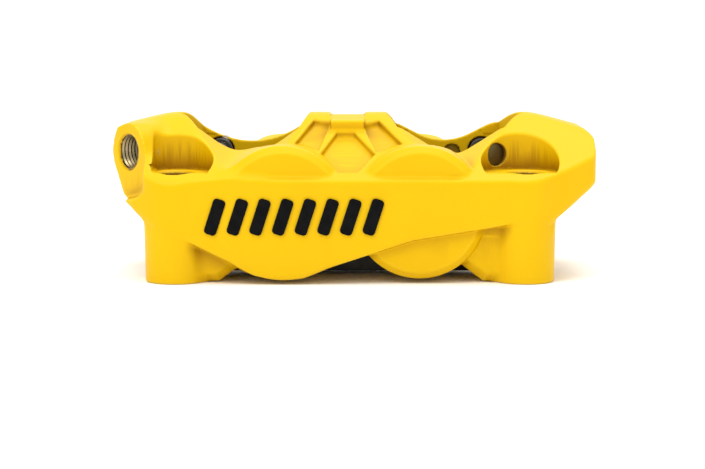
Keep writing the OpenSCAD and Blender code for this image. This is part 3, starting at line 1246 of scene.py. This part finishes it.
    def mark_bare_highlight_and_shade(self, mesh: bpy.types.Mesh, verts: np.ndarray, normals: np.ndarray) -> None:
        """Stores where the paint is missing, the painted highlight on edges and the painted shade in
        hollows.

        Args:
            mesh: The body's mesh.
            verts: Its vertices, in millimetres.
            normals: The surface's direction at each of them.
        """
        reach = 0.7
        helper = np.where(np.abs(normals[:, 2:]) < 0.9, [[0.0, 0.0, 1.0]], [[1.0, 0.0, 0.0]])
        first = np.cross(normals, helper)
        first /= np.linalg.norm(first, axis=1)[:, None]
        second = np.cross(normals, first)
        ways = (first, -first, second, -second)
        sides = [self.solid(Places(*(verts + way * reach).T)) for way in ways]
        # painted highlight: convex edges, where the surface falls away on every side, get the edge
        # factor
        highlight_from, highlight_gain = 0.06, 2.4
        self.store(mesh, "edge", (np.mean(sides, axis=0) / reach - highlight_from) * highlight_gain)
        # painted shade: darker where the surface is enclosed, read from the free room along the normal
        # at three reaches
        occlusion = np.zeros(len(verts))
        for far, weight in ((3.5, 0.35), (7.0, 0.35), (12.0, 0.30)):
            room = self.solid(Places(*(verts + normals * far).T)) / far
            occlusion += weight * np.clip(1 - room, 0, 1.4)
        shade_from, shade_gain = 0.22, 1.7
        self.store(mesh, "painted_shade", (occlusion - shade_from) * shade_gain)
        fade = 0.12
        self.store(mesh, "bare", 0.5 - self.bare(verts) / fade)

    def place(self) -> None:
        """Builds the body, rides it on the caliper and hides the CAD body."""
        body = self.build()
        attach(body, "caliper")
        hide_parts("caliper_body")
        report(body)


# ---------------------------------------------------------------- geometry node pieces

class Tree:
    """Short-hand for building one geometry node tree with named inputs."""

    def __init__(self, name: str) -> None:
        """Starts a tree with a geometry output.

        Args:
            name: The tree's name.
        """
        self.group = bpy.data.node_groups.new(name, "GeometryNodeTree")
        self.group.interface.new_socket("Geometry", in_out="OUTPUT", socket_type="NodeSocketGeometry")
        self.inlet = self.group.nodes.new("NodeGroupInput")
        self.outlet = self.group.nodes.new("NodeGroupOutput")
        self.values: dict[str, object] = {}

    def input(self, name: str, kind: str, value: object) -> Socket:
        """Adds a named input and remembers its value.

        Args:
            name: The input's name.
            kind: Its kind of socket.
            value: The value that it gets.

        Returns:
            The socket that carries it.
        """
        item = self.group.interface.new_socket(name, in_out="INPUT", socket_type="NodeSocket" + kind)
        self.values[item.identifier] = value
        return self.inlet.outputs[name]

    def add(
        self, kind: str, sockets: dict[str | int, object] | None = None, **settings: object
    ) -> bpy.types.Node:
        """Adds a node, sets its properties and fills or links its inputs.

        Args:
            kind: The node's type.
            sockets: A value or a source for each input.
            settings: Values for the node's properties.

        Returns:
            The new node.
        """
        node = self.group.nodes.new(kind)
        for key, value in settings.items():
            setattr(node, key, value)
        for key, value in (sockets or {}).items():
            if isinstance(value, Socket):
                self.group.links.new(value, node.inputs[key])
            else:
                node.inputs[key].default_value = value
        return node

    def finish(self, name: str, geometry: Socket, finish: Finish) -> Piece:
        """Realizes and dresses the result and turns it into plain mesh.

        Args:
            name: Name of the new piece.
            geometry: The socket that carries the shape.
            finish: The finish for all of it.

        Returns:
            The piece as a plain mesh object.
        """
        real = self.add("GeometryNodeRealizeInstances", {"Geometry": geometry})
        paint = self.input("Finish", "Material", finish.material())
        last = self.add("GeometryNodeSetMaterial", {"Geometry": real.outputs[0], "Material": paint})
        self.group.links.new(last.outputs[0], self.outlet.inputs[0])
        made = bpy.data.objects.new(name, bpy.data.meshes.new(name))
        bpy.context.scene.collection.objects.link(made)
        modifier = made.modifiers.new("nodes", "NODES")
        modifier.node_group = self.group
        for identifier, value in self.values.items():
            modifier[identifier] = value
        return bake_modifiers(made)


def helix_thread(
    name: str, radius: float, pitch: float, turns: float, ridge: float,
    place: Vector, turn: Triple, inward: bool, finish: Finish,
) -> Piece:
    """Winds a screw thread's ridge along an axis with geometry nodes.

    Args:
        name: Name of the piece.
        radius: Radius of the ridge's root, in metres.
        pitch: Advance for each turn, in metres.
        turns: Number of turns.
        ridge: Circumradius of the three-sided ridge, in metres.
        place: Start of the axis, in the frame.
        turn: Rotation that brings +Z onto the axis.
        inward: Whether the crest points at the axis, as in a nut.
        finish: The metal's finish.

    Returns:
        The thread as a plain mesh.
    """
    tree = Tree(name + "_nodes")
    root = tree.input("Root Radius", "Float", radius)
    advance = tree.input("Pitch", "Float", pitch)
    count = tree.input("Turns", "Float", turns)
    size = tree.input("Ridge", "Float", ridge)
    move = tree.input("Place", "Vector", tuple(place))
    rotate = tree.input("Turn", "Rotation", turn)
    height = tree.add("ShaderNodeMath", {0: advance, 1: count}, operation="MULTIPLY")
    spiral = tree.add("GeometryNodeCurveSpiral", {
        "Resolution": 48, "Rotations": count, "Start Radius": root, "End Radius": root,
        "Height": height.outputs[0]})
    upright = tree.add("GeometryNodeSetCurveNormal", {"Curve": spiral.outputs[0]}, mode="Z_UP")
    profile = tree.add("GeometryNodeCurvePrimitiveCircle", {"Resolution": 3, "Radius": size})
    face = tree.add("GeometryNodeTransform", {
        "Geometry": profile.outputs[0], "Rotation": (0.0, 0.0, math.radians(90 if inward else -90))})
    swept = tree.add("GeometryNodeCurveToMesh", {
        "Curve": upright.outputs[0], "Profile Curve": face.outputs[0], "Fill Caps": True})
    flat = tree.add("GeometryNodeSetShadeSmooth", {"Geometry": swept.outputs[0], "Shade Smooth": False})
    laid = tree.add("GeometryNodeTransform", {
        "Geometry": flat.outputs[0], "Translation": move, "Rotation": rotate})
    return tree.finish(name, laid.outputs[0], finish)


@dataclass
class BanjoThread:
    """Internal thread of the banjo port."""

    radius: float = 5.12
    pitch: float = 1.15
    turns: float = 6.2
    ridge: float = 0.62
    set_back: float = 0.6

    def place(self, casting: Casting) -> None:
        """Winds the thread into the port's bore.

        Args:
            casting: The casting that has the port.
        """
        turn = casting.port.turn
        start = Vector((casting.port.x, casting.port.d - BOLT_INSET, casting.port.z)) * MM
        way = Vector((-math.sin(turn), math.cos(turn), 0))
        angle = math.atan2(way.y, way.x)
        thread = helix_thread(
            "port_thread", self.radius * MM, self.pitch * MM, self.turns, self.ridge * MM,
            start + way * self.set_back * MM, (0.0, math.radians(90), angle), True,
            TurnedMetal(Metal.THREAD))
        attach(thread, "caliper")
        report(thread)


@dataclass
class FrontMark:
    """A plain row of slanted black bars printed on the front plate."""

    bars: int = 8
    first: float = -38.5
    spacing: float = 6.4
    width: float = 3.6
    height: float = 10.5
    middle: float = 19.4
    slant: float = 18.0
    corner: float = 1.1
    seat: float = 0.09
    film: float = 0.07

    def place(self) -> None:
        """Prints the bars."""
        tree = Tree("front_mark_nodes")
        count = tree.input("Bars", "Int", self.bars)
        start = Vector((self.first, self.seat - BOLT_INSET, self.middle)) * MM
        first = tree.input("First", "Vector", start)
        step = tree.input("Step", "Vector", Vector((self.spacing, 0, 0)) * MM)
        width = tree.input("Width", "Float", self.width * MM)
        height = tree.input("Height", "Float", self.height * MM)
        film = tree.input("Film", "Vector", Vector((0, -self.film, 0)) * MM)
        line = tree.add("GeometryNodeMeshLine", {
            "Count": count, "Start Location": first, "Offset": step})
        bar = tree.add("GeometryNodeCurvePrimitiveQuadrilateral", {"Width": width, "Height": height})
        soft = tree.add("GeometryNodeFilletCurve", {
            "Curve": bar.outputs[0], "Radius": self.corner * MM, "Count": 6}, mode="POLY")
        path = tree.add("GeometryNodeCurvePrimitiveLine", {"End": film})
        flat = tree.add("GeometryNodeCurveToMesh", {
            "Curve": path.outputs[0], "Profile Curve": soft.outputs[0], "Fill Caps": True})
        tilt = tree.input("Slant", "Rotation", (0.0, math.radians(self.slant), 0.0))
        placed = tree.add("GeometryNodeInstanceOnPoints", {
            "Points": line.outputs[0], "Instance": flat.outputs[0], "Rotation": tilt})
        mark = tree.finish("front_mark", placed.outputs[0], PrintInk())
        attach(mark, "caliper")
        report(mark)


# ---------------------------------------------------------------- small parts

def softened(node: str, radius: float, segments: int = 2) -> Piece:
    """Copies a CAD node as one closed mesh and breaks its sharp edges.

    Args:
        node: The CAD node.
        radius: Width of the broken edges, in millimetres.
        segments: Facets across each broken edge.

    Returns:
        The softened copy.
    """
    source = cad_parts[node]
    mesh = source.data.copy()
    shape = bmesh.new()
    shape.from_mesh(mesh)
    bmesh.ops.remove_doubles(shape, verts=shape.verts, dist=1e-6)
    bmesh.ops.dissolve_limit(shape, angle_limit=math.radians(1.0), verts=shape.verts, edges=shape.edges)
    shape.to_mesh(mesh)
    shape.free()
    for layer in [a.name for a in mesh.attributes if a.name.startswith("custom_normal")]:
        mesh.attributes.remove(mesh.attributes[layer])
    made = bpy.data.objects.new(node + "_finished", mesh)
    bpy.context.scene.collection.objects.link(made)
    bevel = made.modifiers.new("broken_edges", "BEVEL")
    bevel.width = radius * MM
    bevel.segments = segments
    bevel.limit_method = "ANGLE"
    bevel.angle_limit = math.radians(35)
    bake_modifiers(made)
    made.data.shade_smooth()
    made.data.set_sharp_from_angle(angle=math.radians(32))
    return made


@dataclass(frozen=True)
class SmallPart:
    """A CAD node shown with softened edges in its own finish."""

    node: str
    body: str
    finish: Finish
    material_slot: str
    edge: float = 0.25

    def place(self) -> None:
        """Builds the part and rides it on its body."""
        piece = softened(self.node, self.edge)
        dress(piece, self.finish)
        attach(piece, self.body)
        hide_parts(self.node)
        report(piece)


@dataclass
class PadSet:
    """Both pads with their backing plates, pins, clips and spring."""

    def parts(self) -> list[SmallPart]:
        """Every part of the set.

        Returns:
            The parts, in the order in which they are built.
        """
        made = []
        for half in ("front", "rear"):
            made.append(SmallPart("backing_plate_" + half, half + "_pad", PowderCoat(),
                                  "backing_steel", 0.35))
            made.append(SmallPart("friction_pad_" + half, half + "_pad", Sinter(),
                                  "friction_block", 0.3))
        for side in ("left", "right"):
            made.append(SmallPart("pad_pin_" + side, "caliper", TurnedMetal(Metal.STAINLESS),
                                  "pin_steel", 0.12))
        made.append(SmallPart("pin_clips", "caliper", TurnedMetal(Metal.SPRING), "spring_steel", 0.1))
        made.append(SmallPart("pad_spring", "caliper", TurnedMetal(Metal.SPRING), "spring_steel", 0.1))
        return made

    def place(self) -> None:
        """Builds every part."""
        for part in self.parts():
            part.place()


@dataclass
class Hydraulics:
    """Pistons, seals, plugs and the bleed screw with its cap."""

    bleed_x: float = 57.0
    bleed_z: float = 33.0
    cap_start: float = 71.6
    ribs: int = 14
    rib_ring: float = 3.78
    rib_size: Triple = (0.5, 0.42, 5.2)
    rib_middle: float = 5.1

    def place(self) -> None:
        """Builds the hydraulic parts."""
        for half in ("front", "rear"):
            for side in ("left", "right"):
                SmallPart(f"piston_{half}_{side}", f"{half}_{side}_piston",
                          TurnedMetal(Metal.ANODISED), "piston_metal", 0.2).place()
                self.seal(f"pressure_seal_{half}_{side}", Rubber())
                self.seal(f"dust_seal_{half}_{side}", Rubber("wiper_rubber", (0.035, 0.034, 0.033)))
        SmallPart("gallery_plugs", "caliper", TurnedMetal(Metal.BRASS), "plug_brass", 0.12).place()
        SmallPart("bleed_screw", "bleeder", TurnedMetal(Metal.ZINC), "bleed_steel", 0.15).place()
        SmallPart("bleed_cap", "bleeder_cap", Rubber("cap_rubber"), "cap_rubber", 0.3).place()
        self.cap_ribs()

    def seal(self, node: str, finish: Finish) -> None:
        """Dresses a seal's CAD node."""
        dress(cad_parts[node], finish)
        LOG.info("%s: CAD node in %s", node, finish.title())

    def cap_ribs(self) -> None:
        """Moulds a ring of grip ribs round the bleed cap."""
        tree = Tree("cap_ribs_nodes")
        count = tree.input("Ribs", "Int", self.ribs)
        ring = tree.input("Ring Radius", "Float", self.rib_ring * MM)
        width = tree.input("Rib Size", "Vector", Vector(self.rib_size) * MM)
        depth = self.cap_start + self.rib_middle - BOLT_INSET
        start = Vector((self.bleed_x, depth, self.bleed_z)) * MM
        place = tree.input("Place", "Vector", start)
        circle = tree.add("GeometryNodeMeshCircle", {"Vertices": count, "Radius": ring})
        rib = tree.add("GeometryNodeMeshCube", {"Size": width})
        outward = tree.add("GeometryNodeInputPosition")
        aim = tree.add("FunctionNodeAlignRotationToVector", {"Vector": outward.outputs[0]},
                       axis="X", pivot_axis="Z")
        ribs = tree.add("GeometryNodeInstanceOnPoints", {
            "Points": circle.outputs[0], "Instance": rib.outputs[0], "Rotation": aim.outputs[0]})
        laid = tree.add("GeometryNodeTransform", {
            "Geometry": ribs.outputs[0], "Translation": place,
            "Rotation": (math.radians(-90), 0.0, 0.0)})
        piece = tree.finish("bleed_cap_ribs", laid.outputs[0], Rubber("cap_rubber"))
        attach(piece, "bleeder_cap")
        report(piece)


# ---------------------------------------------------------------- studio

@dataclass
class Studio:
    """Camera, floor and soft lights."""

    distance: float = 0.6
    elevation: float = 6.5
    lens: float = 108.5
    sensor: float = 36.0
    aim: Triple = (0.0004, -BOLT_INSET * MM, 0.0145)
    sky: float = 1.02
    floor_side: float = 14.0

    def camera(self) -> None:
        """Sets the camera in front, a little above the part."""
        data = bpy.data.cameras.new("camera")
        data.lens = self.lens
        data.sensor_width = self.sensor
        data.clip_start = 0.05
        cam = bpy.data.objects.new("camera", data)
        bpy.context.scene.collection.objects.link(cam)
        lift = math.radians(self.elevation)
        back = Vector((0, -math.cos(lift), math.sin(lift)))
        cam.location = Vector(self.aim) + back * self.distance
        cam.rotation_euler = (-back).to_track_quat("-Z", "Y").to_euler()
        bpy.context.scene.camera = cam

    def floor(self) -> None:
        """Lays a wide pale floor under the part."""
        side = self.floor_side
        mesh = bpy.data.meshes.new("floor")
        corners = [(-side, -side, 0), (side, -side, 0), (side, side, 0), (-side, side, 0)]
        mesh.from_pydata(corners, [], [(0, 1, 2, 3)])
        mesh.materials.append(PaleFloor().material())
        floor = bpy.data.objects.new("floor", mesh)
        bpy.context.scene.collection.objects.link(floor)

    def light(self, name: str, place: Triple, size: float, power: float) -> None:
        """Hangs one square soft light that faces the part.

        Args:
            name: The light's name.
            place: Where it hangs.
            size: Length of its side.
            power: Its power in watts.
        """
        data = bpy.data.lights.new(name, "AREA")
        data.size = size
        data.energy = power
        lamp = bpy.data.objects.new(name, data)
        lamp.location = place
        towards = Vector((0, 0.02, 0.02)) - Vector(place)
        lamp.rotation_euler = towards.to_track_quat("-Z", "Y").to_euler()
        bpy.context.scene.collection.objects.link(lamp)

    def build(self) -> None:
        """Builds the whole studio."""
        world = bpy.data.worlds.new("studio")
        world.use_nodes = True
        background = world.node_tree.nodes["Background"]
        background.inputs["Color"].default_value = (1, 1, 1, 1)
        background.inputs["Strength"].default_value = self.sky
        scene = bpy.context.scene
        scene.world = world
        scene.view_settings.view_transform = "Standard"
        self.camera()
        self.floor()
        self.light("key", place=(-0.25, -0.35, 0.8), size=0.4, power=3.4)
        self.light("top", place=(0.15, 0.15, 0.8), size=0.5, power=3.4)


def main() -> None:
    """Builds the studio, then the caliper from its casting to its smallest parts."""
    logging.basicConfig(level=logging.INFO, format="%(name)s %(message)s")
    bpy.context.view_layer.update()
    Studio().build()
    casting = Casting()
    casting.place()
    BanjoThread().place(casting)
    FrontMark().place()
    PadSet().place()
    Hydraulics().place()


if __name__ == "__main__":
    main()
